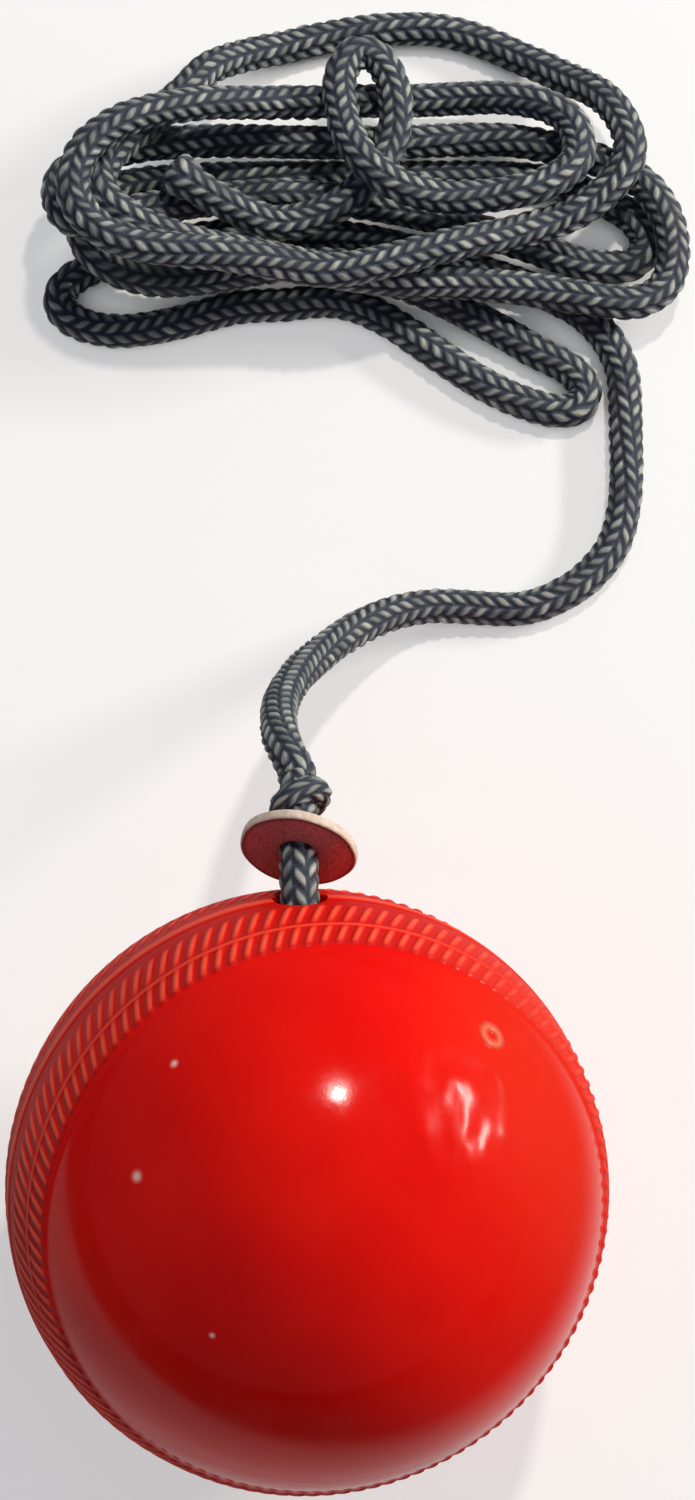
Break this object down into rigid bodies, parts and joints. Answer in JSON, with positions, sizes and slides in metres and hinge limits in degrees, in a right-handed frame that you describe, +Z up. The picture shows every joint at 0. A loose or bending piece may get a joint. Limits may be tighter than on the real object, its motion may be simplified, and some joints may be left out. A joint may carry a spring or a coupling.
{
  "type": "hanging cricket ball",
  "caption": "Moulded practice cricket ball threaded on a braided grey cord, stopped by a leather washer and a knot, with the spare cord lying in a loose pile beside it.",
  "frame": {"origin": "on the floor under the middle of the ball", "axes": "+Z up, +Y from the ball towards the pile of cord, +X to the right in the picture, along the ball's seam"},
  "size_m": [0.0892, 0.2081, 0.072],
  "materials": {
    "cover": "glossy moulded red",
    "core": "matt cork and rubber",
    "cord": "braided grey fibre",
    "washer": "red-faced leather with a pale edge"
  },
  "bodies": {
    "cord": {"cord_neck": "cord", "stop_knot": "cord", "foot_washer": "washer", "foot_knot": "cord", "cord_lead": "cord", "cord_pile": "cord"},
    "ball": {"cover_near": "cover", "cover_far": "cover", "core": "core"},
    "washer": {"top_washer": "washer"}
  },
  "joints": [
    {"name": "ball_spin", "type": "hinge", "parent": "cord", "child": "ball", "pos_m": [0, 0, 0.036], "axis": [-0.0235, 0.8985, 0.4384], "continuous": true},
    {"name": "washer_slide", "type": "slide", "parent": "cord", "child": "washer", "axis": [-0.0244, 0.9333, -0.3584], "range_m": [0, 0.0022]}
  ]
}
